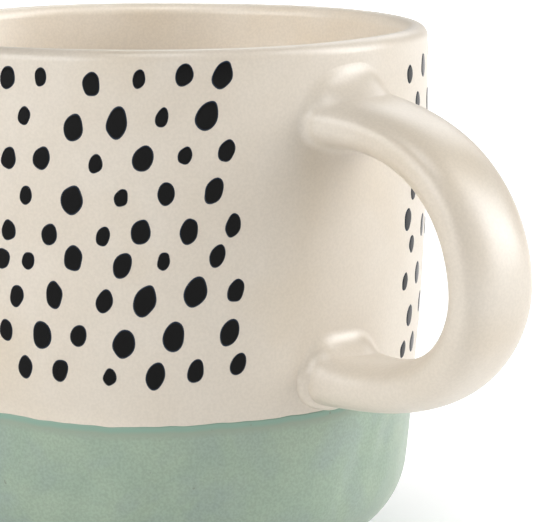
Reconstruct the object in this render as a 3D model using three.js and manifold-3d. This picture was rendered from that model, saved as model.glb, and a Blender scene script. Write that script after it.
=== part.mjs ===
// A hand-made stoneware mug with a pulled strap handle, in millimetres.
// The origin is the centre of the foot's resting face, +Z is up and +X runs through the handle.
//
// The clay pieces are the thrown cup, the handle, and the two collars of soft clay that lute
// the handle on. Four fired glaze coats lie on them: one poured inside, a cream one outside and
// over the lip, the green one that the base was dipped in, and the one on the handle.

import * as THREE from 'three';
import { mergeVertices } from 'three/addons/utils/BufferGeometryUtils.js';
import Module from 'manifold-3d';

const wasm = await Module();
wasm.setup();

// Cup, outside of the glaze
const HEIGHT = 90;
const WIDEST_RADIUS = 45;
const WIDEST_HEIGHT = 78;
const WALL_TUCK = 3.9;         // how much narrower the wall is where the base corner begins
const CORNER_HEIGHT = 16;      // where the wall turns into the rounded base corner
const WALL_THICKNESS = 5.2;
const LIP_THICKNESS = 4;
const LIP_TAPER = 16;          // how far below the lip the wall has its full thickness
const FLOOR_HEIGHT = 7;        // top of the floor inside
const INNER_CORNER_RADIUS = 14;

// Bare clay foot
const FOOT_RADIUS = 24.5;
const FOOT_HEIGHT = 2.4;
const FOOT_BEVEL = 0.6;

// Glaze
const GLAZE_THICKNESS = 0.4;
const LINER_TOP = 82;          // the inside coat ends here, and the outside one rolls over the lip
const DIP_HEIGHT = 30.2;       // mean height of the green dip line
const DIP_SWAY = 0.45;         // the line's slow rise and fall
const DIP_SWAYS = 3;           // how many times it rises and falls round the mug
const DIP_TURN = 48;           // where it is lowest, in degrees behind the handle
const DIP_RIPPLE = 0.12;       // its small ripple
const DIP_RIPPLES = 8;

// Handle, bare clay: a rounded strap
const UPPER_HALF_WIDTH = 8;    // it narrows from the upper root to the lower one
const LOWER_HALF_WIDTH = 7.2;
const STRAP_HALF_THICKNESS = 3.7;
const STRAP_SQUARENESS = 2.4;  // 2 is an ellipse, more is boxier
const UPPER_ROOT_HEIGHT = 77.9;
const LOWER_ROOT_HEIGHT = 35.9;
const HANDLE_REACH = 73.8;     // centre of the strap at its furthest point
const HANDLE_REACH_HEIGHT = 53.2;
const UPPER_ROOT_RADIUS = 42;  // the centre line starts and ends inside the wall
const LOWER_ROOT_RADIUS = 40.5;
const UPPER_BEND = 68.8;       // how far out the line is drawn from each root before it turns
const LOWER_BEND = 66.4;
const UPPER_DROP = 0.5;        // how far it falls from each root on the way
const LOWER_DROP = 4;
const ABOVE_REACH = 7.8;       // how far the line runs upright above and below its reach
const BELOW_REACH = 7.6;

// Luting collars
const COLLAR_LENGTH = 8;
const COLLAR_SPREAD = 3;       // how far a collar stands out from the strap at the wall
const COLLAR_EDGE = 0.35;      // its thickness at its far edge
const COAT_EASE = 2;           // length over which the glaze eases from a collar to the strap

// Facets
const AROUND = 48;
const STRAP_SIDES = 16;
const STRAP_STEPS = 36;
const WALL_STEPS = 4;
const CORNER_STEPS = 5;
const LIP_STEPS = 6;
const COLLAR_STEPS = 5;
const LOW_INNER_RINGS = [54, 36];  // heights of the rings inside, below the lip's taper

const RAD = Math.PI / 180;

// ---------------------------------------------------------------- solids

function solidOf(geometry) {
  const bare = geometry.clone();
  bare.deleteAttribute('normal');
  bare.deleteAttribute('uv');
  const merged = mergeVertices(bare, 1e-4);
  const triangles = [];
  const index = merged.index.array;
  for (let i = 0; i < index.length; i += 3) {
    const [a, b, c] = index.slice(i, i + 3);
    if (a !== b && b !== c && c !== a) triangles.push(a, b, c);
  }
  return new wasm.Manifold(new wasm.Mesh({
    numProp: 3,
    vertProperties: merged.attributes.position.array,
    triVerts: new Uint32Array(triangles),
  }));
}

function geometryOf(solid) {
  const mesh = solid.getMesh();
  const geometry = new THREE.BufferGeometry();
  geometry.setAttribute('position', new THREE.BufferAttribute(mesh.vertProperties, 3));
  geometry.setIndex(new THREE.BufferAttribute(mesh.triVerts, 1));
  geometry.computeVertexNormals();
  return geometry;
}

// Turns an outline of (radius, height) points about +Z. The outline runs up the outside.
function turned(outline) {
  const points = outline.map(([radius, height]) => new THREE.Vector2(radius, height));
  const geometry = new THREE.LatheGeometry(points, AROUND);
  geometry.rotateX(Math.PI / 2);
  return solidOf(geometry);
}

// ---------------------------------------------------------------- the cup's outline

function wallRadius(height) {
  const down = (WIDEST_HEIGHT - height) / (WIDEST_HEIGHT - CORNER_HEIGHT);
  return WIDEST_RADIUS - WALL_TUCK * down ** 2;
}

function wallLean(height) {
  const down = (WIDEST_HEIGHT - height) / (WIDEST_HEIGHT - CORNER_HEIGHT);
  return Math.atan(2 * WALL_TUCK * down / (WIDEST_HEIGHT - CORNER_HEIGHT));
}

// Points of an arc in the (radius, height) plane, from angle a to angle b, both in radians.
function arc(centreRadius, centreHeight, radius, a, b, steps) {
  const points = [];
  for (let i = 0; i <= steps; i++) {
    const angle = a + (b - a) * i / steps;
    points.push([centreRadius + radius * Math.cos(angle), centreHeight + radius * Math.sin(angle)]);
  }
  return points;
}

const LIP_HEIGHT = HEIGHT - LIP_THICKNESS / 2;
const LIP_RADIUS = wallRadius(LIP_HEIGHT) - LIP_THICKNESS / 2;

function wallThickness(height) {
  const below = Math.min(1, (LIP_HEIGHT - height) / LIP_TAPER);
  return LIP_THICKNESS + (WALL_THICKNESS - LIP_THICKNESS) * below;
}

function wallPoints(from, to, steps, inset) {
  const points = [];
  for (let i = 1; i < steps; i++) {
    const height = from + (to - from) * i / steps;
    points.push([wallRadius(height) - inset, height]);
  }
  return points;
}

// Points on the wall's inside at some heights, sunk into the clay by the inset.
function innerWallPoints(heights, inset) {
  return heights.map((height) => [wallRadius(height) - wallThickness(height) + inset, height]);
}

// The base corner: from under the base up to the wall, drawn in by the inset.
function baseCorner(inset) {
  const lean = wallLean(CORNER_HEIGHT);
  const radius = (CORNER_HEIGHT - FOOT_HEIGHT) / (1 - Math.sin(lean));
  const centreRadius = wallRadius(CORNER_HEIGHT) - radius * Math.cos(lean);
  const centreHeight = FOOT_HEIGHT + radius;
  return arc(centreRadius, centreHeight, radius - inset, -Math.PI / 2, -lean, CORNER_STEPS);
}

// The inside corner: from the wall down to the floor, sunk into the clay by the inset.
function floorCorner(inset) {
  const top = FLOOR_HEIGHT + INNER_CORNER_RADIUS;
  const lean = wallLean(top);
  const centreRadius = wallRadius(top) - WALL_THICKNESS - INNER_CORNER_RADIUS * Math.cos(lean);
  return arc(centreRadius, top, INNER_CORNER_RADIUS + inset, -lean, -Math.PI / 2, CORNER_STEPS);
}

// The whole cup, outside and inside, with every surface drawn into the wall by the inset.
function cupOutline(inset) {
  return [
    [0, FOOT_HEIGHT + inset],
    ...baseCorner(inset),
    ...wallPoints(CORNER_HEIGHT, LIP_HEIGHT, WALL_STEPS, inset),
    ...arc(LIP_RADIUS, LIP_HEIGHT, LIP_THICKNESS / 2 - inset, 0, Math.PI, LIP_STEPS),
    ...innerWallPoints([LIP_HEIGHT - LIP_TAPER, ...LOW_INNER_RINGS], inset),
    ...floorCorner(inset),
    [0, FLOOR_HEIGHT - inset],
  ];
}

// Everything inside the middle of the wall below the liner's top, to part the two cream coats.
function innerHalf() {
  const middle = LIP_THICKNESS / 2;
  return turned([
    [0, FOOT_HEIGHT + middle],
    ...baseCorner(middle),
    ...wallPoints(CORNER_HEIGHT, LINER_TOP, WALL_STEPS, middle),
    [wallRadius(LINER_TOP) - middle, LINER_TOP],
    [0, LINER_TOP],
  ]);
}

// ---------------------------------------------------------------- the dip line

// Height of the green dip line at an angle about the axis, 0 at the handle.
function dipHeight(angle) {
  const sway = -DIP_SWAY * Math.cos(DIP_SWAYS * (angle + DIP_TURN * RAD));
  const ripple = DIP_RIPPLE * Math.sin(DIP_RIPPLES * angle);
  return DIP_HEIGHT + sway + ripple;
}

// Everything below the dip line.
function belowDip() {
  const margin = 10;
  const outside = WIDEST_RADIUS + margin;
  const inside = WIDEST_RADIUS - margin;
  const points = [
    new THREE.Vector2(0, -margin),
    new THREE.Vector2(outside, -margin),
    new THREE.Vector2(outside, DIP_HEIGHT),
    new THREE.Vector2(inside, DIP_HEIGHT),
    new THREE.Vector2(0, DIP_HEIGHT),
  ];
  const geometry = new THREE.LatheGeometry(points, AROUND);
  geometry.rotateX(Math.PI / 2);
  const position = geometry.attributes.position;
  for (let i = 0; i < position.count; i++) {
    const x = position.getX(i);
    const y = position.getY(i);
    const onTop = position.getZ(i) > 0;
    if (onTop && Math.hypot(x, y) > 1) position.setZ(i, dipHeight(Math.atan2(y, x)));
  }
  return solidOf(geometry);
}

// ---------------------------------------------------------------- the handle

// The strap's centre line, from inside the wall at the upper root to inside it at the lower.
const STRAP_LINE = new THREE.CurvePath();
STRAP_LINE.add(new THREE.CubicBezierCurve3(
  new THREE.Vector3(UPPER_ROOT_RADIUS, 0, UPPER_ROOT_HEIGHT),
  new THREE.Vector3(UPPER_BEND, 0, UPPER_ROOT_HEIGHT - UPPER_DROP),
  new THREE.Vector3(HANDLE_REACH, 0, HANDLE_REACH_HEIGHT + ABOVE_REACH),
  new THREE.Vector3(HANDLE_REACH, 0, HANDLE_REACH_HEIGHT),
));
STRAP_LINE.add(new THREE.CubicBezierCurve3(
  new THREE.Vector3(HANDLE_REACH, 0, HANDLE_REACH_HEIGHT),
  new THREE.Vector3(HANDLE_REACH, 0, HANDLE_REACH_HEIGHT - BELOW_REACH),
  new THREE.Vector3(LOWER_BEND, 0, LOWER_ROOT_HEIGHT - LOWER_DROP),
  new THREE.Vector3(LOWER_ROOT_RADIUS, 0, LOWER_ROOT_HEIGHT),
));
const STRAP_LENGTH = STRAP_LINE.getLength();

// A point of the strap's section at a length, rounded-rectangle like: [along the width, across].
function strapSection(length, angle, swell) {
  const power = 2 / STRAP_SQUARENESS;
  const c = Math.cos(angle);
  const s = Math.sin(angle);
  const halfWidth = UPPER_HALF_WIDTH
    + (LOWER_HALF_WIDTH - UPPER_HALF_WIDTH) * length / STRAP_LENGTH;
  return [
    (halfWidth + swell) * Math.sign(c) * Math.abs(c) ** power,
    (STRAP_HALF_THICKNESS + swell) * Math.sign(s) * Math.abs(s) ** power,
  ];
}

// Sweeps the section along the centre line between two lengths, swollen by swellAt(length).
function swept(from, to, steps, swellAt) {
  const positions = [];
  const index = [];
  for (let i = 0; i <= steps; i++) {
    const length = from + (to - from) * i / steps;
    const centre = STRAP_LINE.getPointAt(length / STRAP_LENGTH);
    const along = STRAP_LINE.getTangentAt(length / STRAP_LENGTH);
    for (let k = 0; k < STRAP_SIDES; k++) {
      const angle = 2 * Math.PI * k / STRAP_SIDES;
      const [width, across] = strapSection(length, angle, swellAt(length));
      positions.push(centre.x - across * along.z, width, centre.z + across * along.x);
    }
  }
  const ring = (i, k) => i * STRAP_SIDES + k % STRAP_SIDES;
  for (let i = 0; i < steps; i++) {
    for (let k = 0; k < STRAP_SIDES; k++) {
      index.push(ring(i, k), ring(i, k + 1), ring(i + 1, k));
      index.push(ring(i, k + 1), ring(i + 1, k + 1), ring(i + 1, k));
    }
  }
  for (let k = 1; k < STRAP_SIDES - 1; k++) {
    index.push(ring(0, 0), ring(0, k + 1), ring(0, k));
    index.push(ring(steps, 0), ring(steps, k), ring(steps, k + 1));
  }
  const geometry = new THREE.BufferGeometry();
  geometry.setAttribute('position', new THREE.Float32BufferAttribute(positions, 3));
  geometry.setIndex(index);
  return solidOf(geometry);
}

// How far a luting collar stands out from the strap, at a length from its near end.
function collarSwell(length) {
  const t = Math.max(0, 1 - length / COLLAR_LENGTH);
  return COLLAR_EDGE + (COLLAR_SPREAD - COLLAR_EDGE) * t ** 2;
}

// The glaze follows the collars and eases down to the bare strap past their far edges.
function coatSwell(length) {
  const near = Math.min(length, STRAP_LENGTH - length);
  const past = Math.min(1, Math.max(0, (near - COLLAR_LENGTH) / COAT_EASE));
  const collar = near < COLLAR_LENGTH ? collarSwell(near) : COLLAR_EDGE * (1 - past);
  return collar + GLAZE_THICKNESS;
}

// ---------------------------------------------------------------- the pieces

const footOutline = [
  [0, 0],
  [FOOT_RADIUS - FOOT_BEVEL, 0],
  [FOOT_RADIUS, FOOT_BEVEL],
  [FOOT_RADIUS, FOOT_HEIGHT + GLAZE_THICKNESS],
  [0, FOOT_HEIGHT + GLAZE_THICKNESS],
];
const clayCup = turned([
  ...footOutline.slice(0, -1),
  ...cupOutline(GLAZE_THICKNESS).slice(1),
]);
const glazedCup = turned(cupOutline(0));
const inner = innerHalf();
const dipped = belowDip();

const strap = swept(0, STRAP_LENGTH, STRAP_STEPS, () => 0);
const upperFlare = swept(0, COLLAR_LENGTH, COLLAR_STEPS, collarSwell);
const lowerFlare = swept(STRAP_LENGTH - COLLAR_LENGTH, STRAP_LENGTH, COLLAR_STEPS,
  (length) => collarSwell(STRAP_LENGTH - length));
const strapCoat = swept(0, STRAP_LENGTH, STRAP_STEPS, coatSwell);
const handleClay = strap.add(upperFlare).add(lowerFlare);

const coat = glazedCup.subtract(clayCup);
const outerCoat = coat.subtract(inner).subtract(handleClay);

const CREAM = '#dccfbc';
const CLAY = '#cbb79c';
const GREEN = '#9bb19c';

const pieces = [
  ['cup_body', clayCup, CLAY, 0.85],
  ['handle', strap.subtract(clayCup), CLAY, 0.85],
  ['upper_handle_joint', upperFlare.subtract(strap).subtract(clayCup), CLAY, 0.85],
  ['lower_handle_joint', lowerFlare.subtract(strap).subtract(clayCup), CLAY, 0.85],
  ['liner_glaze', coat.intersect(inner), CREAM, 0.35],
  ['cream_glaze', outerCoat.subtract(dipped), CREAM, 0.35],
  ['green_glaze', outerCoat.intersect(dipped), GREEN, 0.4],
  ['handle_glaze', strapCoat.subtract(handleClay).subtract(glazedCup), CREAM, 0.35],
];

const mug = new THREE.Group();
for (const [name, solid, color, roughness] of pieces) {
  const material = new THREE.MeshStandardMaterial({ color, roughness, metalness: 0 });
  const mesh = new THREE.Mesh(geometryOf(solid), material);
  mesh.name = name;
  mug.add(mesh);
}

export default mug;
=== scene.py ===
import math
import random

import bpy
import numpy as np
from mathutils import Matrix, Vector


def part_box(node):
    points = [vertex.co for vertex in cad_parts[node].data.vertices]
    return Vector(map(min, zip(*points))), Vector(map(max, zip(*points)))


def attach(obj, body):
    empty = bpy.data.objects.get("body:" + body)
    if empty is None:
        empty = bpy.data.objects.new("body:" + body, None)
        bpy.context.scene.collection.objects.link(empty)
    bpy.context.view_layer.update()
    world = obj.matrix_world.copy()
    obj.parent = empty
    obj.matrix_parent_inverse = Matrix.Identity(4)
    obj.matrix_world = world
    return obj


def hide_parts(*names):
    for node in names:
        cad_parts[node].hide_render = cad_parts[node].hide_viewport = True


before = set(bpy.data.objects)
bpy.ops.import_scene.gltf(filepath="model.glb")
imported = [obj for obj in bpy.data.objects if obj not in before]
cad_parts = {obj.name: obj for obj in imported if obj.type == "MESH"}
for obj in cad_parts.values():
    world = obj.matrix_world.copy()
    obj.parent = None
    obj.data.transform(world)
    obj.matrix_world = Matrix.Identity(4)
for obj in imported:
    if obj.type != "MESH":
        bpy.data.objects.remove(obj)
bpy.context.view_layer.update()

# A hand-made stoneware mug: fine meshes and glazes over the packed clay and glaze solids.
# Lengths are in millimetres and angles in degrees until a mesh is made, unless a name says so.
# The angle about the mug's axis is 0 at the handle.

MM = 0.001
TAU = 2 * math.pi

# Cup, outside of the glaze
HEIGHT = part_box("cream_glaze")[1].z / MM
WIDEST_RADIUS = 45.0
WIDEST_HEIGHT = 78.0
WALL_TUCK = 3.9            # how much narrower the wall is where the base corner begins
CORNER_HEIGHT = 16.0
WALL_THICKNESS = 5.2
LIP_THICKNESS = 4.0
LIP_TAPER = 16.0           # how far below the lip the wall has its full thickness
FLOOR_HEIGHT = 7.0
INNER_CORNER_RADIUS = 14.0
LINER_TOP = 82.0           # where the inside coat ends and the outer one, turned over the lip, begins

# Bare clay foot
FOOT_RADIUS = 24.5
FOOT_HEIGHT = 2.4
FOOT_BEVEL = 0.6
FOOT_GAP = 0.05            # the green coat keeps this clear of the foot's side

# Glaze
GLAZE = 0.4
DIP_HEIGHT = 30.2
DIP_SWAY = 0.45
DIP_SWAYS = 3              # how many times it sways in one turn
DIP_TURN = 48.0            # one of its lowest places is at minus this angle
DIP_RIPPLE = 0.12
DIP_RIPPLES = 8
DIP_LAP = 1.6              # how far the green coat laps over the cream one
DIP_RAISE = 0.12           # how far it stands out from it

# Handle, outside of the glaze
UPPER_HALF_WIDTH = 8.4
LOWER_HALF_WIDTH = 7.6
STRAP_HALF_THICKNESS = 4.1
STRAP_SQUARENESS = 2.4
UPPER_ROOT_HEIGHT = 77.9
LOWER_ROOT_HEIGHT = 35.9
UPPER_ROOT_RADIUS = 42.0   # the strap's middle line starts and ends this far from the axis
LOWER_ROOT_RADIUS = 40.5
UPPER_BEND = 68.8          # how far out it heads before it turns
LOWER_BEND = 66.4
UPPER_DROP = 0.5           # how far below each root's height it heads
LOWER_DROP = 4.0
ABOVE_REACH = 7.8          # how long it keeps upright above and below its furthest point
BELOW_REACH = 7.6
HANDLE_REACH = 73.8
HANDLE_REACH_HEIGHT = 53.2

# Growth of the strap into the wall, and the fillets round its roots
NEAR_FLARE = 2.2           # how much the strap's two sides widen into the wall, the near one most
FAR_FLARE = 0.3
LOWER_LESS = 0.7           # by how much the near side grows less at the lower root
THICK_FLARE = 0.4
NEAR_LIFT = 1.8            # how much thicker it grows towards the near side's upper edge, low down
FLARE_START = 4.0          # length of the strap inside the wall
FLARE_REACH = 5.0
UPPER_FILLET = (4.4, 1.7, 2.0)    # over, beside and under the strap
LOWER_FILLET = (3.6, 1.2, 0.9)
FAR_TRIM = 0.45                   # by how much it is smaller on the strap's far side
# How strongly worked-in clay swells a fillet outwards, from 0 for not at all
LOWER_COLLAR = 0.75        # at the lower root, on the near side and below
LOWER_RIDGE = 0.35         # over the lower root
UPPER_RIDGE = 0.35         # over the upper root

# Local dents and swellings left by the hand: angle, height, radius of the dent, depth.
DENTS = (
    (-70, 84, 9, 0.16),
    (-48, 80, 12, -0.12),
    (-20, 84, 8, 0.12),
    (-75, 62, 16, 0.14),
    (-40, 52, 15, -0.10),
    (-62, 20, 6, 0.26),
    (-74, 16, 6, -0.20),
    (-55, 13, 5, -0.20),
    (-40, 16, 6, 0.22),
    (-24, 22, 7, 0.16),
    (-10, 17, 7, -0.16),
    (6, 21, 6, 0.20),
    (18, 15, 6, -0.14),
    (45, 30, 10, 0.32),
    (45, 83, 6, 0.16),
    (120, 60, 18, 0.18),
    (170, 40, 16, -0.16),
    (-140, 48, 18, 0.18),
    (-170, 20, 10, 0.20),
    (95, 22, 10, 0.18),
)

# Soft creases in the base where the hand held it for dipping: angle, height, half length,
# half width, lean from upright and depth.
CREASES = (
    (-72, 17, 8, 2.4, 35, 0.26),
    (-61, 19, 9, 2.6, 30, 0.24),
    (-47, 15, 8, 2.2, 28, 0.30),
    (-22, 19, 8, 2.6, 40, 0.18),
    (4, 18, 9, 2.4, 30, 0.24),
    (16, 22, 7, 2.2, 20, 0.18),
    (110, 18, 9, 2.5, -30, 0.22),
    (-150, 19, 8, 2.4, 30, 0.22),
)

# Painted spots
SPOT_SIZES = {"s": (2.3, 2.9), "m": (2.8, 3.6), "l": (3.2, 4.2), "x": (3.7, 4.7)}
SPOT_RISE = 0.10           # how far the paint stands up
SPOT_SINK = 0.15           # how far its underside goes into the glaze
SPOT_PITCH = 7.4
NOMINAL_RADIUS = 44.5      # the spots' places along the wall are measured at this radius
BESIDE_HANDLE = 22.0       # where the first spots stand, and lean most

# Each row of spots: its height, then the spots that can be seen on the two sides of the handle.
# Each of them has its distance along the wall from the handle's middle, its rise and its size.
# Most of these places came from a scratch program, out of spot centres read off the photo.
SPOT_ROWS = (
    (85.4,
     ((24, 0.7, "l"), (30, 0.8, "m"), (37, 0.2, "s"), (44.5, -0.6, "m"), (53, 0.3, "s"), (59, 0, "m")),
     ((16, -2.2, "s"), (23.5, -1.4, "m"))),
    (79.1,
     ((26.5, 0.7, "x"), (33.5, 0.5, "s"), (40.5, -0.3, "x"), (47.5, -1.2, "l"), (56, 0.4, "s")),
     ((20, -0.6, "s"), (28.5, -1.2, "m"))),
    (73.2,
     ((23.5, 1, "m"), (30, 0.4, "s"), (36.5, 0, "l"), (44, -0.9, "s"), (53, -0.3, "m"), (59, -0.6, "m")),
     ((17, -0.8, "s"), (24.5, -0.6, "s"))),
    (67.2,
     ((25.5, 0.8, "l"), (33, 0.4, "m"), (40, -0.2, "s"), (48, -0.8, "x"), (56, -0.4, "s")),
     ((21, 0.4, "s"), (28, 0, "m"))),
    (61.4,
     ((22.5, 0.9, "m"), (29.5, 0.2, "l"), (37, 0.2, "l"),
      (43, -0.6, "s"), (52, -0.6, "m"), (59.5, -0.4, "m")),
     ((18.5, 2.3, "s"), (25, 1.2, "s"))),
    (56.7,
     ((25, 0.9, "m"), (33.5, 0.2, "s"), (40, -0.5, "l"),
      (48, 0.5, "l"), (56, -0.4, "s"), (61, -0.4, "m")),
     ((16.3, 2.6, "m"), (25.5, 0.4, "m"))),
    (51,
     ((22, 0.9, "m"), (28.5, 0.9, "x"), (36.5, -0.4, "x"),
      (43, -0.6, "m"), (51.5, 0.1, "l"), (58.5, -0.6, "m")),
     ((18.5, 3.9, "s"), (23, -1.6, "m"))),
    (44.6,
     ((23, 0.5, "l"), (32, 0.2, "x"), (40, -1, "x"), (47.5, 0.1, "m"), (54, -0.2, "x"), (61, 0, "m")),
     ((16.2, 4.3, "s"), (19.7, -2, "m"), (28, -1, "m"))),
    (38.8,
     ((21.5, 1.1, "m"), (28.5, 0.3, "m"), (35, -0.4, "l"),
      (42.5, -0.7, "s"), (51, 0, "m"), (57.5, 0.1, "m")),
     ((17.6, -1.6, "s"), (23, -1.2, "m"))),
)
SPOT_SIDES = 32
# rings of a spot from its middle out: share of its outline, and share of its rise
SPOT_RINGS = ((0.35, 1.0), (0.7, 0.97), (0.88, 0.85), (0.96, 0.6), (1.0, 0.2), (1.04, -0.4))

# Colours, linear
CREAM = (0.54, 0.48, 0.40)
CREAM_WARM = (0.525, 0.455, 0.36)
CREAM_PALE = (0.56, 0.505, 0.43)
INSIDE_PAINTED_LIGHT = 1.42        # painted light: the inside is painted lighter than the outside by this much, for the brighter light inside the cup
INSIDE_FROM = 42.8         # it changes between these distances from the axis
INSIDE_TO = 41.2
GREEN = (0.228, 0.302, 0.230)
GREEN_PALE = (0.250, 0.322, 0.241)
GREEN_GREY = (0.218, 0.282, 0.242)
GREEN_EDGE = (0.18, 0.29, 0.225)
GREEN_UNDER_EDGE = (0.22, 0.275, 0.21)
GREEN_SPECK = (0.17, 0.20, 0.16)
CLAY = (0.56, 0.45, 0.33)
CLAY_DARK = (0.40, 0.30, 0.21)
SPOT_BLACK = (0.003, 0.003, 0.003)
SPOT_EDGE = (0.03, 0.045, 0.07)

# Floor, its sizes in metres. It brightens away from the mug, and again towards its rim.
FLOOR_RADIUS = 1.5
FLOOR_DROP = 0.00005       # keeps the floor clear of the foot's face
FLOOR_GLOW_NEAR = 0.05
FLOOR_GLOW_FAR = 0.36
FLOOR_GLOW_FROM = 0.025
FLOOR_GLOW_TO = 0.075
FLOOR_GLOW_EDGE = 0.5      # added towards the floor's rim, so that it runs into the white behind
FLOOR_EDGE_FROM = 0.4
FLOOR_EDGE_TO = 1.3

# Camera
CAMERA_AZIMUTH = 45.0      # the handle points this far to the right of the camera
CAMERA_ELEVATION = 9.47
CAMERA_ROLL = -0.33
CAMERA_DISTANCE = 550.0
CAMERA_AIM_RIGHT = 17.56   # the aimed-at point lies this far to the right of the axis
CAMERA_AIM_HEIGHT = 49.46
FIELD_OF_VIEW = 9.448      # across the frame's width

# Light: a white band low down as the back of the studio, a dim sky above it, and softboxes.
# The band's top and the sky's bottom are heights on the unit sphere.
HORIZON_GLOW = 1.0
SKY_GLOW = 0.03
HORIZON_TOP = 0.10
SKY_BOTTOM = 0.16
SOFTBOX_DISTANCE = 2.0     # metres
# Name, bearing, elevation, width and height in metres, and watts. Bearing 0 is the camera's side,
# 90 the right.
SOFTBOXES = (
    ("left_softbox", -60, 26, 1.6, 1.2, 23.0),
    ("front_softbox", -30, 28, 1.0, 1.0, 5.0),
    ("right_softbox", 92, 19, 0.9, 1.0, 26.0),
    ("right_high_softbox", 88, 45, 0.9, 0.9, 13.0),
    ("top_softbox", -10, 72, 0.8, 0.8, 10.0),
    ("back_softbox", 165, 35, 1.4, 1.0, 11.0),
)

# Mesh fineness
COLUMNS = 384
STRAP_SIDES = 72
STRAP_RINGS = 150
FILLET_RINGS = 24


# ---------------------------------------------------------------- shape of the cup

def wall_radius(z):
    down = (WIDEST_HEIGHT - z) / (WIDEST_HEIGHT - CORNER_HEIGHT)
    return WIDEST_RADIUS - WALL_TUCK * down ** 2


def wall_lean(z):
    down = (WIDEST_HEIGHT - z) / (WIDEST_HEIGHT - CORNER_HEIGHT)
    return math.atan(2 * WALL_TUCK * down / (WIDEST_HEIGHT - CORNER_HEIGHT))


def smooth_step(low, high, x):
    t = np.clip((x - low) / (high - low), 0.0, 1.0)
    return t * t * (3 - 2 * t)


def along_wall(angle, at):
    """How far round the wall an angle in radians is from another in degrees."""
    return ((angle - math.radians(at) + math.pi) % TAU - math.pi) * WIDEST_RADIUS


def hand_wave(angle, z):
    """How far the hand left the wall outside or inside of true, by angle in radians and height."""
    wave = (
        0.14 * np.sin(2 * angle + 1.1)
        + 0.08 * np.sin(3 * angle - z / 16)
        + 0.05 * np.sin(5 * angle + z / 9 + 0.7)
        + 0.03 * np.sin(9 * angle - z / 6)
    )
    for at, height, size, depth in DENTS:
        distance = along_wall(angle, at) ** 2 + (z - height) ** 2
        wave = wave - depth * np.exp(-distance / size ** 2)
    for at, height, length, width, lean, depth in CREASES:
        across = along_wall(angle, at)
        tilt = math.radians(lean)
        along = (z - height) * math.cos(tilt) + across * math.sin(tilt)
        aside = across * math.cos(tilt) - (z - height) * math.sin(tilt)
        wave = wave - depth * np.exp(-(along / length) ** 2 - (aside / width) ** 2)
    return wave * smooth_step(3, 12, z)


def lip_wave(angle, z):
    """How far the lip rises or falls, by angle in radians. It fades away down the wall."""
    wave = 0.08 * np.sin(2 * angle + 1) + 0.06 * np.sin(5 * angle)
    return wave * smooth_step(60, HEIGHT, z)


def arc(centre_r, centre_z, radius, start, end, steps):
    turn = np.linspace(start, end, steps + 1)
    return np.column_stack([centre_r + radius * np.cos(turn), centre_z + radius * np.sin(turn)])


def wall_line(z_from, z_to, steps, inset):
    z = np.linspace(z_from, z_to, steps + 1)
    return np.column_stack([wall_radius(z) - inset, z])


def base_corner(inset, steps):
    lean = wall_lean(CORNER_HEIGHT)
    radius = (CORNER_HEIGHT - FOOT_HEIGHT) / (1 - math.sin(lean))
    centre_r = wall_radius(CORNER_HEIGHT) - radius * math.cos(lean)
    return arc(centre_r, FOOT_HEIGHT + radius, radius - inset, -math.pi / 2, -lean, steps)


def inner_wall(z_from, z_to, steps, inset):
    """The wall's inside, sunk into the clay by the inset."""
    z = np.linspace(z_from, z_to, steps + 1)
    share = np.minimum(1, (LIP_Z - z) / LIP_TAPER)
    thickness = LIP_THICKNESS + (WALL_THICKNESS - LIP_THICKNESS) * share
    return np.column_stack([wall_radius(z) - thickness + inset, z])


def floor_corner(inset, steps):
    top = FLOOR_HEIGHT + INNER_CORNER_RADIUS
    lean = wall_lean(top)
    centre_r = wall_radius(top) - WALL_THICKNESS - INNER_CORNER_RADIUS * math.cos(lean)
    return arc(centre_r, top, INNER_CORNER_RADIUS + inset, -lean, -math.pi / 2, steps)


LIP_HALF = LIP_THICKNESS / 2
LIP_Z = HEIGHT - LIP_HALF
LIP_R = wall_radius(LIP_Z) - LIP_HALF
INNER_WALL_BOTTOM = FLOOR_HEIGHT + INNER_CORNER_RADIUS


def dip_height(angle):
    sway = -DIP_SWAY * np.cos(DIP_SWAYS * (angle + math.radians(DIP_TURN)))
    return DIP_HEIGHT + sway + DIP_RIPPLE * np.sin(DIP_RIPPLES * angle)


# ---------------------------------------------------------------- meshes

def new_piece(name, vertices, faces, material, nodes):
    mesh = bpy.data.meshes.new(name)
    mesh.from_pydata((np.asarray(vertices) * MM).tolist(), [], faces)
    mesh.validate()
    mesh.shade_smooth()
    mesh.set_sharp_from_angle(angle=math.radians(50))
    mesh.materials.append(material)
    piece = bpy.data.objects.new(name, mesh)
    bpy.context.scene.collection.objects.link(piece)
    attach(piece, "root")
    if nodes:
        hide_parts(*nodes)
    return piece


def ring_faces(rows, columns, loop):
    """Quads between successive rings of vertices, and back to the first ring when it is a loop."""
    i = np.arange(rows if loop else rows - 1)[:, None]
    k = np.arange(columns)[None, :]
    a = i * columns + k
    b = i * columns + (k + 1) % columns
    up = (i + 1) % rows * columns
    quads = np.stack([a, b, up + (k + 1) % columns, up + k], axis=-1)
    return quads.reshape(-1, 4).tolist()


def cap_faces(rows, columns):
    """Triangles that close the first and last rings onto the two points stored after the rings."""
    first = rows * columns
    last = (rows - 1) * columns
    faces = []
    for k in range(columns):
        after = (k + 1) % columns
        faces.append([first, after, k])
        faces.append([first + 1, last + k, last + after])
    return faces


def angles():
    return np.linspace(0, TAU, COLUMNS, endpoint=False)


def revolve(r, z):
    """Vertices of rings turned about the axis, with the marks of the hand. r and z are 2-D."""
    angle = angles()[None, :]
    r = np.broadcast_to(r, (r.shape[0], COLUMNS))
    z = np.broadcast_to(z, (z.shape[0], COLUMNS))
    radius = r + hand_wave(angle, z) * smooth_step(0, 20, r)
    return np.stack([radius * np.cos(angle), radius * np.sin(angle), z + lip_wave(angle, z)], axis=-1)


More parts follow.
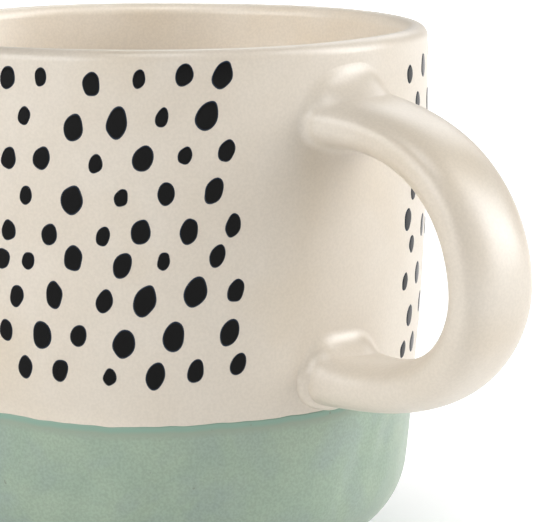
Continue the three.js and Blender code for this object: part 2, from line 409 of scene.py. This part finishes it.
def turned_loop(name, outline, material, nodes):
    """A coat: a closed outline turned about the axis. outline is (r, z), each rows by columns."""
    r, z = outline
    vertices = revolve(r, z).reshape(-1, 3)
    return new_piece(name, vertices, ring_faces(r.shape[0], COLUMNS, True), material, nodes)


def turned_solid(name, outline, material, nodes):
    """A turned solid whose outline starts and ends on the axis."""
    inner = outline[1:-1]
    vertices = revolve(inner[:, :1], inner[:, 1:]).reshape(-1, 3)
    poles = [[0, 0, outline[0][1]], [0, 0, outline[-1][1]]]
    faces = ring_faces(len(inner), COLUMNS, False) + cap_faces(len(inner), COLUMNS)
    return new_piece(name, np.vstack([vertices, poles]), faces, material, nodes)


# ---------------------------------------------------------------- the cup and its coats

def cup_clay(material):
    # the foot's resting face, its worn and bevelled edge, and its side
    foot = np.array([
        [0, 0],
        [FOOT_RADIUS - FOOT_BEVEL - 0.4, 0],
        [FOOT_RADIUS - FOOT_BEVEL, 0.03],
        [FOOT_RADIUS - 0.18, 0.22],
        [FOOT_RADIUS, FOOT_BEVEL],
        [FOOT_RADIUS - 0.1, FOOT_HEIGHT + GLAZE - 0.1],
    ])
    outline = np.vstack([
        foot,
        base_corner(GLAZE, 24),
        wall_line(CORNER_HEIGHT, LIP_Z, 40, GLAZE)[1:],
        arc(LIP_R, LIP_Z, LIP_HALF - GLAZE, 0, math.pi, 16)[1:],
        inner_wall(LIP_Z, INNER_WALL_BOTTOM, 30, GLAZE)[1:],
        floor_corner(GLAZE, 20)[1:],
        [[0, FLOOR_HEIGHT - GLAZE]],
    ])
    return turned_solid("cup_clay", outline, material, ["cup_body"])


def liner_coat(material):
    outline = np.vstack([
        [[0, FLOOR_HEIGHT]],
        floor_corner(0, 40)[::-1],
        inner_wall(INNER_WALL_BOTTOM, LINER_TOP, 60, 0)[1:],
        inner_wall(LINER_TOP, INNER_WALL_BOTTOM, 30, GLAZE),
        floor_corner(GLAZE, 20)[1:],
        [[0, FLOOR_HEIGHT - GLAZE]],
    ])
    return turned_solid("liner_coat", outline[::-1], material, ["liner_glaze"])


def column_rows(parts):
    """Stacks outlines, some of them rows by columns, into one pair of rows-by-columns arrays."""
    r = np.vstack([np.broadcast_to(part[0], (len(part[0]), COLUMNS)) for part in parts])
    z = np.vstack([np.broadcast_to(part[1], (len(part[1]), COLUMNS)) for part in parts])
    return r, z


def as_rows(outline):
    return outline[:, :1], outline[:, 1:]


def wall_rows(z_from, z_to, steps, inset):
    """Wall points between two heights that may each differ from column to column."""
    t = np.linspace(0, 1, steps + 1)[:, None]
    z = z_from + (z_to - z_from) * t
    return np.broadcast_to(wall_radius(z) - inset, z.shape), z


def cream_coat(material):
    low = dip_height(angles())[None, :] - DIP_LAP
    rows = column_rows([
        wall_rows(low, LIP_Z, 120, 0),
        as_rows(arc(LIP_R, LIP_Z, LIP_HALF, 0, math.pi, 40)[1:-1]),
        as_rows(inner_wall(LIP_Z, LINER_TOP, 10, 0)),
        as_rows(inner_wall(LINER_TOP, LIP_Z, 6, GLAZE)),
        as_rows(arc(LIP_R, LIP_Z, LIP_HALF - GLAZE, math.pi, 0, 12)[1:-1]),
        wall_rows(LIP_Z, low, 20, GLAZE),
    ])
    return turned_loop("cream_coat", rows, material, ["cream_glaze"])


def green_coat(material):
    line = dip_height(angles())[None, :] + dip_fringe(angles())[None, :]
    edge = np.linspace(0, 1, 6)[1:, None] * math.pi / 2
    raise_at_edge = DIP_RAISE * np.cos(edge)
    edge_z = line + 2.2 * DIP_RAISE * np.sin(edge)
    corner = base_corner(0, 50)
    corner[:, 0] += DIP_RAISE * smooth_step(0, 6, corner[:, 1] - FOOT_HEIGHT)
    foot_edge = np.array([
        [FOOT_RADIUS + FOOT_GAP, FOOT_HEIGHT + GLAZE - FOOT_GAP],
        [FOOT_RADIUS + FOOT_GAP, FOOT_HEIGHT],
    ])
    rows = column_rows([
        as_rows(foot_edge),
        as_rows(corner),
        tuple(part[1:] for part in wall_rows(CORNER_HEIGHT, line, 60, -DIP_RAISE)),
        (wall_radius(edge_z) + raise_at_edge, edge_z),
        tuple(part[1:] for part in wall_rows(edge_z[-1:], line - DIP_LAP, 6, 0.02)),
        wall_rows(line - DIP_LAP, CORNER_HEIGHT, 12, GLAZE),
        as_rows(base_corner(GLAZE, 16)[::-1][1:]),
    ])
    piece = turned_loop("green_coat", rows, material, ["green_glaze"])
    below_line = piece.data.attributes.new("below_line", "FLOAT", "POINT")
    below_line.data.foreach_set("value", (line - rows[1]).astype(np.float32).ravel())
    return piece


def dip_fringe(angle):
    """The small unevenness of the dipped edge, in millimetres."""
    return 0.05 * np.sin(23 * angle + 1.3) + 0.04 * np.sin(41 * angle) + 0.03 * np.sin(67 * angle + 0.4)


# ---------------------------------------------------------------- the handle

def bezier(p, steps):
    t = np.linspace(0, 1, steps + 1)[:, None]
    p = np.array(p, float)
    return (1 - t) ** 3 * p[0] + 3 * (1 - t) ** 2 * t * p[1] + 3 * (1 - t) * t * t * p[2] + t ** 3 * p[3]


def strap_line(points):
    """The centre line in the X-Z plane, as evenly spaced points and their tangents."""
    upper = bezier([
        (UPPER_ROOT_RADIUS, UPPER_ROOT_HEIGHT),
        (UPPER_BEND, UPPER_ROOT_HEIGHT - UPPER_DROP),
        (HANDLE_REACH, HANDLE_REACH_HEIGHT + ABOVE_REACH),
        (HANDLE_REACH, HANDLE_REACH_HEIGHT),
    ], 200)
    lower = bezier([
        (HANDLE_REACH, HANDLE_REACH_HEIGHT),
        (HANDLE_REACH, HANDLE_REACH_HEIGHT - BELOW_REACH),
        (LOWER_BEND, LOWER_ROOT_HEIGHT - LOWER_DROP),
        (LOWER_ROOT_RADIUS, LOWER_ROOT_HEIGHT),
    ], 200)
    line = np.vstack([upper, lower[1:]])
    lengths = np.concatenate([[0], np.cumsum(np.hypot(*np.diff(line, axis=0).T))])
    even = np.linspace(0, lengths[-1], points)
    centre = np.column_stack([np.interp(even, lengths, line[:, i]) for i in (0, 1)])
    tangent = np.gradient(centre, even, axis=0)
    return even, centre, tangent / np.hypot(*tangent.T)[:, None]


def section(turn, half_width, half_thickness):
    """The strap's section: across its width, and out from its middle, with the outward normal."""
    power = 2 / STRAP_SQUARENESS
    c, s = np.cos(turn), np.sin(turn)
    wide = half_width * np.sign(c) * np.abs(c) ** power
    thick = half_thickness * np.sign(s) * np.abs(s) ** power
    normal_w = np.sign(c) * np.abs(c) ** (2 - power) / half_width
    normal_t = np.sign(s) * np.abs(s) ** (2 - power) / half_thickness
    size = np.hypot(normal_w, normal_t)
    return wide, thick, normal_w / size, normal_t / size


def strap_wave(length, turn):
    """The hand's unevenness along the strap."""
    return 0.10 * np.sin(length / 9 + 0.5) * np.cos(turn) + 0.08 * np.sin(length / 6 + 2 * turn)


def strap_surface(inset):
    """Points of the strap, rows along it and columns round it, and the section's normals."""
    even, centre, tangent = strap_line(400)
    turn = np.linspace(0, TAU, STRAP_SIDES, endpoint=False)[None, :]
    share = even[:, None] / even[-1]
    from_wall = np.minimum(even, even[-1] - even)[:, None] - FLARE_START
    flare = np.exp(-np.maximum(0, from_wall) / FLARE_REACH)
    low_down = smooth_step(0.4, 0.6, share)
    side_flare = np.where(np.cos(turn) < 0, NEAR_FLARE - LOWER_LESS * low_down, FAR_FLARE)
    plain_width = UPPER_HALF_WIDTH + (LOWER_HALF_WIDTH - UPPER_HALF_WIDTH) * share
    half_width = plain_width - inset + flare * side_flare
    near_and_up = smooth_step(0, 0.9, -np.cos(turn)) * (np.sin(turn) < 0)
    lift = NEAR_LIFT * near_and_up * low_down
    half_thickness = STRAP_HALF_THICKNESS - inset + flare * (THICK_FLARE + lift)
    wide, thick, normal_w, normal_t = section(turn, half_width, half_thickness)
    wave = strap_wave(even[:, None], turn)
    wide = wide + wave * normal_w
    thick = thick + wave * normal_t
    x = centre[:, :1] - thick * tangent[:, 1:]
    z = centre[:, 1:] + thick * tangent[:, :1]
    middle = len(even) // 2
    return even, np.stack([x, wide, z], axis=-1), normal_w[middle], normal_t[middle]


def above_wall(points):
    """Height of points above the cup's outer surface, measured outwards from the axis."""
    angle = np.arctan2(points[..., 1], points[..., 0])
    radius = np.hypot(points[..., 0], points[..., 1])
    z = points[..., 2]
    return radius - wall_radius(z) - hand_wave(angle, z)


def on_wall(angle, z, height):
    """A point at a height above the cup's outer surface."""
    radius = wall_radius(z) + hand_wave(angle, z) + height
    return np.stack([radius * np.cos(angle), radius * np.sin(angle), z + lip_wave(angle, z)], axis=-1)


def fillet_size(turn, top, side, under):
    """Fillet radius round a root: over the strap, at its sides and under it."""
    s = np.sin(turn)
    up = np.clip(s, 0, 1) ** 1.5
    down = np.clip(-s, 0, 1) ** 1.5
    on_far_side = smooth_step(0, 1, np.cos(turn))
    return (side + (top - side) * up + (under - side) * down) * (1 - FAR_TRIM * on_far_side)


def root_rings(points, normal_w, normal_t, upright, fillet, bulge, sink):
    """Rings from the wall up a fillet to the strap. points run along the strap, from the wall out.

    upright is 1 where the section's own up is up, and -1 where the strap has turned over.
    """
    height = above_wall(points)
    sides = points.shape[1]
    length = np.arange(points.shape[0], dtype=float)
    start = np.empty(sides)
    corner = np.empty((sides, 3))
    top = np.empty((sides, 3))
    for k in range(sides):
        rise = np.maximum.accumulate(height[:, k])
        at_wall = np.interp(0.0, rise, length)
        start[k] = np.interp(fillet[k], rise, length)
        for axis in range(3):
            corner[k, axis] = np.interp(at_wall, length, points[:, k, axis])
            top[k, axis] = np.interp(start[k], length, points[:, k, axis])
    angle = np.arctan2(corner[:, 1], corner[:, 0]) + fillet * normal_w / WIDEST_RADIUS
    z = corner[:, 2] + fillet * normal_t * upright
    foot = on_wall(angle, z, -sink)
    swell = (top + foot - 2 * corner) * bulge[:, None]
    near_wall = corner + 0.5 * (foot - corner)
    t = np.linspace(1, 0, FILLET_RINGS + 1)[:-1, None, None]
    rings = (
        (1 - t) ** 3 * top
        + 3 * (1 - t) ** 2 * t * (corner + swell)
        + 3 * (1 - t) * t ** 2 * (near_wall + swell * bulge[:, None] ** 2)
        + t ** 3 * foot
    )
    return rings, start


def handle_parts(inset, sink):
    """The handle's skin in three runs of rings: upper root, strap and lower root, wall to wall."""
    even, points, normal_w, normal_t = strap_surface(inset)
    turn = np.linspace(0, TAU, STRAP_SIDES, endpoint=False)
    # on the lower root the section has turned over, so its sine is negative on top
    near_side = smooth_step(-0.2, 0.35, -np.cos(turn))
    not_above = smooth_step(-0.45, 0.0, np.sin(turn))
    collar = LOWER_COLLAR * near_side * not_above
    collar = np.maximum(collar, LOWER_RIDGE * smooth_step(0.3, 0.9, -np.sin(turn)))
    ridge = UPPER_RIDGE * smooth_step(0.3, 0.9, np.sin(turn))
    upper, from_length = root_rings(
        points, normal_w, normal_t, 1.0, fillet_size(turn, *UPPER_FILLET), ridge, sink)
    lower, back_length = root_rings(
        points[::-1], normal_w, normal_t, -1.0, fillet_size(-turn, *LOWER_FILLET), collar, sink)
    last = len(even) - 1
    to_length = last - back_length
    strap = along_strap(points, from_length, to_length, STRAP_RINGS)
    upper_under = along_strap(points, 0 * from_length, from_length, FILLET_RINGS)
    lower_under = along_strap(points, to_length, 0 * to_length + last, FILLET_RINGS)
    return upper, strap, lower[::-1], upper_under, lower_under


def along_strap(points, start, end, steps):
    """Rings spaced evenly on each line of points along the strap, from start to end on that line."""
    t = np.linspace(0, 1, steps + 1)[:, None]
    row = start[None, :] + (end - start)[None, :] * t
    low = np.clip(row.astype(int), 0, len(points) - 2)
    part = (row - low)[..., None]
    k = np.arange(STRAP_SIDES)[None, :]
    return points[low, k] * (1 - part) + points[low + 1, k] * part


def handle_coat(material):
    outer = np.concatenate(handle_parts(0, 0.006)[:3])
    inner = np.concatenate(handle_parts(GLAZE, 0.3)[:3])[::-1]
    rings = np.concatenate([outer, inner])
    faces = ring_faces(len(rings), STRAP_SIDES, True)
    return new_piece("handle_coat", rings.reshape(-1, 3), faces, material, ["handle_glaze"])


def capped_tube(name, rings, material, nodes):
    vertices = np.vstack([rings.reshape(-1, 3), rings[0].mean(0)[None], rings[-1].mean(0)[None]])
    faces = ring_faces(len(rings), STRAP_SIDES, False) + cap_faces(len(rings), STRAP_SIDES)
    return new_piece(name, vertices, faces, material, nodes)


def handle_clay(material):
    """The strap's clay, and the softer clay worked into its two roots, all under the glaze."""
    upper, strap, lower, upper_under, lower_under = handle_parts(GLAZE + 0.02, 0.3)
    whole = np.concatenate([upper_under[:-1], strap, lower_under[1:]])
    capped_tube("strap_clay", whole, material, ["handle"])
    for name, skin, under, node in (
        ("upper_collar_clay", upper, upper_under[::-1], "upper_handle_joint"),
        ("lower_collar_clay", lower, lower_under[::-1], "lower_handle_joint"),
    ):
        rings = np.concatenate([skin, under])
        faces = ring_faces(len(rings), STRAP_SIDES, True)
        new_piece(name, rings.reshape(-1, 3), faces, material, [node])


# ---------------------------------------------------------------- the painted spots

def spots():
    """Every spot: angle in radians, height, half width, half height and lean in radians."""
    draw = random.Random(23)
    found = []
    round_the_wall = TAU * NOMINAL_RADIUS
    even_heights = np.linspace(SPOT_ROWS[0][0], SPOT_ROWS[-1][0], len(SPOT_ROWS))
    for number, (row_height, before, beyond) in enumerate(SPOT_ROWS):
        row = [(along, row_height + rise, size) for along, rise, size in before]
        row += [(round_the_wall - along, row_height + rise, size) for along, rise, size in beyond]
        start = before[-1][0]
        end = round_the_wall - beyond[-1][0]
        # round the back the spots stand evenly, each row half a step on from the one before
        first = SPOT_PITCH * (math.ceil(start / SPOT_PITCH + 0.5) + number % 2 / 2)
        for place in np.arange(first, end - 0.7 * SPOT_PITCH, SPOT_PITCH):
            across = place + draw.uniform(-0.9, 0.9)
            row.append((across, even_heights[number] + draw.uniform(-0.6, 0.6), draw.choice("ssmmmllx")))
        for place, height, size in row:
            width, tall = SPOT_SIZES[size]
            near = math.exp(-((place - BESIDE_HANDLE) / 25) ** 2)
            lean = math.radians(6 + 16 * near + draw.uniform(-7, 7))
            width *= draw.uniform(0.94, 1.06) - 0.1 * near
            tall *= draw.uniform(0.94, 1.06) + 0.05 * near
            found.append((-place / NOMINAL_RADIUS, height, width / 2, tall / 2, lean))
    return found


def spot_outline(draw, half_width, half_height):
    """The edge of one brush mark, across and up, a little uneven and narrower towards one end."""
    turn = np.linspace(0, TAU, SPOT_SIDES, endpoint=False)
    wobble = 1 + sum(
        draw.uniform(-0.12, 0.12) / order * np.cos(order * turn + draw.uniform(0, TAU))
        for order in (2, 3, 4, 5)
    )
    taper = 1 - draw.uniform(-0.04, 0.15) * np.sin(turn)
    return half_width * wobble * taper * np.cos(turn), half_height * wobble * np.sin(turn)


def spot_faces(base):
    """Faces of one spot, whose points begin at base: its middle, its rings, then a point below."""
    faces = []
    ring_count = len(SPOT_RINGS)
    last = base + 1 + (ring_count - 1) * SPOT_SIDES
    under = base + 1 + ring_count * SPOT_SIDES
    for k in range(SPOT_SIDES):
        after = (k + 1) % SPOT_SIDES
        faces.append([base, base + 1 + k, base + 1 + after])
        for i in range(ring_count - 1):
            a = base + 1 + i * SPOT_SIDES
            b = a + SPOT_SIDES
            faces.append([a + k, b + k, b + after, a + after])
        faces.append([last + after, last + k, under])
    return faces


def painted_spots(material):
    draw = random.Random(5)
    vertices = []
    faces = []
    edge_share = []
    for angle, height, half_width, half_height, lean in spots():
        outline_u, outline_v = spot_outline(draw, half_width, half_height)
        across = outline_u * math.cos(lean) + outline_v * math.sin(lean)
        up = outline_v * math.cos(lean) - outline_u * math.sin(lean)
        faces.extend(spot_faces(len(vertices)))
        centre = np.array([angle]), np.array([height])
        vertices.extend(on_wall(*centre, SPOT_RISE).tolist())
        edge_share.append(0.0)
        for share, rise in SPOT_RINGS:
            z = height + share * up
            around = angle + share * across / wall_radius(z)
            vertices.extend(on_wall(around, z, SPOT_RISE * rise).tolist())
            edge_share.extend([share] * SPOT_SIDES)
        vertices.extend(on_wall(*centre, -SPOT_SINK).tolist())
        edge_share.append(1.0)
    piece = new_piece("painted_spots", vertices, faces, material, [])
    layer = piece.data.attributes.new("edge_share", "FLOAT", "POINT")
    layer.data.foreach_set("value", edge_share)
    return piece


# ---------------------------------------------------------------- materials

def new_material(name):
    material = bpy.data.materials.new(name)
    material.use_nodes = True
    tree = material.node_tree
    shader = tree.nodes["Principled BSDF"]
    place = tree.nodes.new("ShaderNodeTexCoord").outputs["Object"]
    return material, tree, shader, place


def noise(tree, place, scale, detail=2.0, distortion=0.0):
    texture = tree.nodes.new("ShaderNodeTexNoise")
    texture.inputs["Scale"].default_value = scale
    texture.inputs["Detail"].default_value = detail
    texture.inputs["Distortion"].default_value = distortion
    tree.links.new(place, texture.inputs["Vector"])
    return texture.outputs["Fac"]


def spread(tree, value, low, high, out_low, out_high):
    """Maps a value's range low..high to out_low..out_high, clamped."""
    step = tree.nodes.new("ShaderNodeMapRange")
    step.inputs["From Min"].default_value = low
    step.inputs["From Max"].default_value = high
    step.inputs["To Min"].default_value = out_low
    step.inputs["To Max"].default_value = out_high
    tree.links.new(value, step.inputs["Value"])
    return step.outputs["Result"]


def blend(tree, share, first, second):
    """Mixes two colours, each a tuple or a socket, by a share."""
    mix = tree.nodes.new("ShaderNodeMix")
    mix.data_type = "RGBA"
    tree.links.new(share, mix.inputs["Factor"])
    for socket, colour in ((mix.inputs[6], first), (mix.inputs[7], second)):
        if isinstance(colour, tuple):
            socket.default_value = (*colour, 1.0)
        else:
            tree.links.new(colour, socket)
    return mix.outputs[2]


def bump(tree, height, distance_mm, strength, before=None):
    step = tree.nodes.new("ShaderNodeBump")
    step.inputs["Distance"].default_value = distance_mm * MM
    step.inputs["Strength"].default_value = strength
    tree.links.new(height, step.inputs["Height"])
    if before:
        tree.links.new(before, step.inputs["Normal"])
    return step.outputs["Normal"]


def grain(tree, place):
    """A fine even grain, as a share from 0 to 1."""
    return spread(tree, noise(tree, place, 2300, 1), 0.36, 0.64, 0, 1)


def lighter(tree, colour, share):
    scale = tree.nodes.new("ShaderNodeVectorMath")
    scale.operation = "SCALE"
    scale.inputs["Scale"].default_value = share
    tree.links.new(colour, scale.inputs[0])
    return scale.outputs[0]


def from_axis(tree, place):
    """The distance from the mug's axis, in metres."""
    level = tree.nodes.new("ShaderNodeVectorMath")
    level.operation = "MULTIPLY"
    level.inputs[1].default_value = (1, 1, 0)
    tree.links.new(place, level.inputs[0])
    distance = tree.nodes.new("ShaderNodeVectorMath")
    distance.operation = "LENGTH"
    tree.links.new(level.outputs[0], distance.inputs[0])
    return distance.outputs["Value"]


def cream_glaze():
    material, tree, shader, place = new_material("cream_glaze")
    clouds = spread(tree, noise(tree, place, 70, 3), 0.35, 0.65, 0, 1)
    warm = spread(tree, noise(tree, place, 38, 2), 0.52, 0.72, 0, 1)
    pale = blend(tree, clouds, CREAM, CREAM_PALE)
    clear = blend(tree, warm, pale, CREAM_WARM)
    grained = blend(tree, grain(tree, place), lighter(tree, clear, 0.97), lighter(tree, clear, 1.03))
    # painted light: the colour inside the cup is made lighter to stand in for the light that reaches it
    inside = spread(tree, from_axis(tree, place), INSIDE_FROM * MM, INSIDE_TO * MM, 0, 1)
    colour = blend(tree, inside, grained, lighter(tree, grained, INSIDE_PAINTED_LIGHT))
    tree.links.new(colour, shader.inputs["Base Color"])
    satin = spread(tree, noise(tree, place, 160, 3), 0.3, 0.7, 0.34, 0.40)
    tree.links.new(satin, shader.inputs["Roughness"])
    shader.inputs["IOR"].default_value = 1.65
    peel = bump(tree, noise(tree, place, 420, 2), 0.05, 0.35)
    fine = bump(tree, noise(tree, place, 1500, 2), 0.015, 0.3, peel)
    tree.links.new(fine, shader.inputs["Normal"])
    return material


def green_glaze():
    material, tree, shader, place = new_material("green_glaze")
    clouds = spread(tree, noise(tree, place, 130, 4, 0.6), 0.38, 0.62, 0, 1)
    grey = spread(tree, noise(tree, place, 75, 3, 0.5), 0.46, 0.66, 0, 1)
    mottled = blend(tree, grey, blend(tree, clouds, GREEN, GREEN_PALE), GREEN_GREY)
    mottled = blend(tree, grain(tree, place), lighter(tree, mottled, 0.93), lighter(tree, mottled, 1.07))
    below = tree.nodes.new("ShaderNodeAttribute")
    below.attribute_name = "below_line"
    under = blend(tree, spread(tree, below.outputs["Fac"], 0.9, 2.2, 0, 1), GREEN_UNDER_EDGE, mottled)
    band = blend(tree, spread(tree, below.outputs["Fac"], 0.35, 0.95, 0, 1), GREEN_EDGE, under)
    specks = spread(tree, noise(tree, place, 1300, 0), 0.84, 0.90, 0, 1)
    colour = blend(tree, specks, band, GREEN_SPECK)
    tree.links.new(colour, shader.inputs["Base Color"])
    satin = spread(tree, noise(tree, place, 160, 3), 0.3, 0.7, 0.30, 0.38)
    tree.links.new(satin, shader.inputs["Roughness"])
    shader.inputs["IOR"].default_value = 1.55
    peel = bump(tree, noise(tree, place, 420, 2), 0.06, 0.4)
    fine = bump(tree, noise(tree, place, 1400, 2), 0.02, 0.35, peel)
    tree.links.new(fine, shader.inputs["Normal"])
    return material


def bare_clay():
    material, tree, shader, place = new_material("bare_clay")
    grit = spread(tree, noise(tree, place, 900, 3), 0.45, 0.75, 0, 1)
    colour = blend(tree, grit, CLAY, CLAY_DARK)
    tree.links.new(colour, shader.inputs["Base Color"])
    shader.inputs["Roughness"].default_value = 0.85
    rough = bump(tree, noise(tree, place, 1600, 4), 0.08, 0.6)
    tree.links.new(rough, shader.inputs["Normal"])
    return material


def spot_paint():
    material, tree, shader, place = new_material("spot_paint")
    share = tree.nodes.new("ShaderNodeAttribute")
    share.attribute_name = "edge_share"
    rim = spread(tree, share.outputs["Fac"], 0.88, 1.02, 0, 1)
    tree.links.new(blend(tree, rim, SPOT_BLACK, SPOT_EDGE), shader.inputs["Base Color"])
    gloss = spread(tree, noise(tree, place, 500, 2), 0.3, 0.7, 0.10, 0.18)
    tree.links.new(gloss, shader.inputs["Roughness"])
    shader.inputs["IOR"].default_value = 1.2
    tree.links.new(bump(tree, noise(tree, place, 700, 2), 0.03, 0.4), shader.inputs["Normal"])
    return material


# ---------------------------------------------------------------- floor, light and camera

def pale_floor():
    """A round white floor that brightens away from the mug, as a lit sweep does."""
    sides = 96
    rim = np.linspace(0, TAU, sides, endpoint=False)
    corners = [(FLOOR_RADIUS * math.cos(a), FLOOR_RADIUS * math.sin(a), -FLOOR_DROP) for a in rim]
    mesh = bpy.data.meshes.new("floor")
    mesh.from_pydata(corners, [], [list(range(sides))])
    floor = bpy.data.objects.new("floor", mesh)
    bpy.context.scene.collection.objects.link(floor)
    material, tree, shader, place = new_material("floor_white")
    shade = blend(tree, noise(tree, place, 3, 2), (0.86, 0.86, 0.86), (0.88, 0.88, 0.88))
    tree.links.new(shade, shader.inputs["Base Color"])
    shader.inputs["Roughness"].default_value = 0.8
    shader.inputs["Emission Color"].default_value = (1, 1, 1, 1)
    distance = tree.nodes.new("ShaderNodeVectorMath")
    distance.operation = "LENGTH"
    tree.links.new(place, distance.inputs[0])
    away = distance.outputs["Value"]
    glow = spread(tree, away, FLOOR_GLOW_FROM, FLOOR_GLOW_TO, FLOOR_GLOW_NEAR, FLOOR_GLOW_FAR)
    edge = spread(tree, away, FLOOR_EDGE_FROM, FLOOR_EDGE_TO, 0, FLOOR_GLOW_EDGE)
    both = tree.nodes.new("ShaderNodeMath")
    tree.links.new(glow, both.inputs[0])
    tree.links.new(edge, both.inputs[1])
    tree.links.new(both.outputs[0], shader.inputs["Emission Strength"])
    mesh.materials.append(material)


AZIMUTH = math.radians(CAMERA_AZIMUTH)
RIGHT = Vector((math.cos(AZIMUTH), math.sin(AZIMUTH), 0))
AWAY = Vector((-math.sin(AZIMUTH), math.cos(AZIMUTH), 0))


def add_camera():
    elevation = math.radians(CAMERA_ELEVATION)
    aim = (RIGHT * CAMERA_AIM_RIGHT + Vector((0, 0, CAMERA_AIM_HEIGHT))) * MM
    look = AWAY * math.cos(elevation) - Vector((0, 0, math.sin(elevation)))
    data = bpy.data.cameras.new("camera")
    data.sensor_width = 36
    data.lens = 18 / math.tan(math.radians(FIELD_OF_VIEW) / 2)
    data.clip_start = 0.01
    data.clip_end = 50
    camera = bpy.data.objects.new("camera", data)
    bpy.context.scene.collection.objects.link(camera)
    turn = look.to_track_quat("-Z", "Y").to_matrix() @ Matrix.Rotation(math.radians(CAMERA_ROLL), 3, "Z")
    camera.matrix_world = Matrix.Translation(aim - look * CAMERA_DISTANCE * MM) @ turn.to_4x4()
    bpy.context.scene.camera = camera


def softbox(name, bearing, elevation, width, height, watts):
    """An area light aimed at the mug's middle."""
    turn = math.radians(bearing)
    lift = math.radians(elevation)
    level = RIGHT * math.sin(turn) - AWAY * math.cos(turn)
    direction = level * math.cos(lift) + Vector((0, 0, math.sin(lift)))
    data = bpy.data.lights.new(name, "AREA")
    data.shape = "RECTANGLE"
    data.size = width
    data.size_y = height
    data.energy = watts
    light = bpy.data.objects.new(name, data)
    bpy.context.scene.collection.objects.link(light)
    middle = Vector((0, 0, HEIGHT / 2 * MM))
    aim = (-direction).to_track_quat("-Z", "Y").to_matrix().to_4x4()
    light.matrix_world = Matrix.Translation(middle + direction * SOFTBOX_DISTANCE) @ aim


def add_light():
    world = bpy.data.worlds.new("studio")
    bpy.context.scene.world = world
    world.use_nodes = True
    tree = world.node_tree
    background = tree.nodes["Background"]
    background.inputs["Color"].default_value = (1, 1, 1, 1)
    split = tree.nodes.new("ShaderNodeSeparateXYZ")
    tree.links.new(tree.nodes.new("ShaderNodeTexCoord").outputs["Generated"], split.inputs["Vector"])
    glow = spread(tree, split.outputs["Z"], HORIZON_TOP, SKY_BOTTOM, HORIZON_GLOW, SKY_GLOW)
    tree.links.new(glow, background.inputs["Strength"])
    for box in SOFTBOXES:
        softbox(*box)


# ---------------------------------------------------------------- the scene

cream = cream_glaze()
green = green_glaze()
clay = bare_clay()
cup_clay(clay)
liner_coat(cream)
cream_coat(cream)
green_coat(green)
handle_clay(clay)
handle_coat(cream)
painted_spots(spot_paint())
pale_floor()
add_camera()
add_light()
bpy.context.scene.view_settings.view_transform = "Standard"
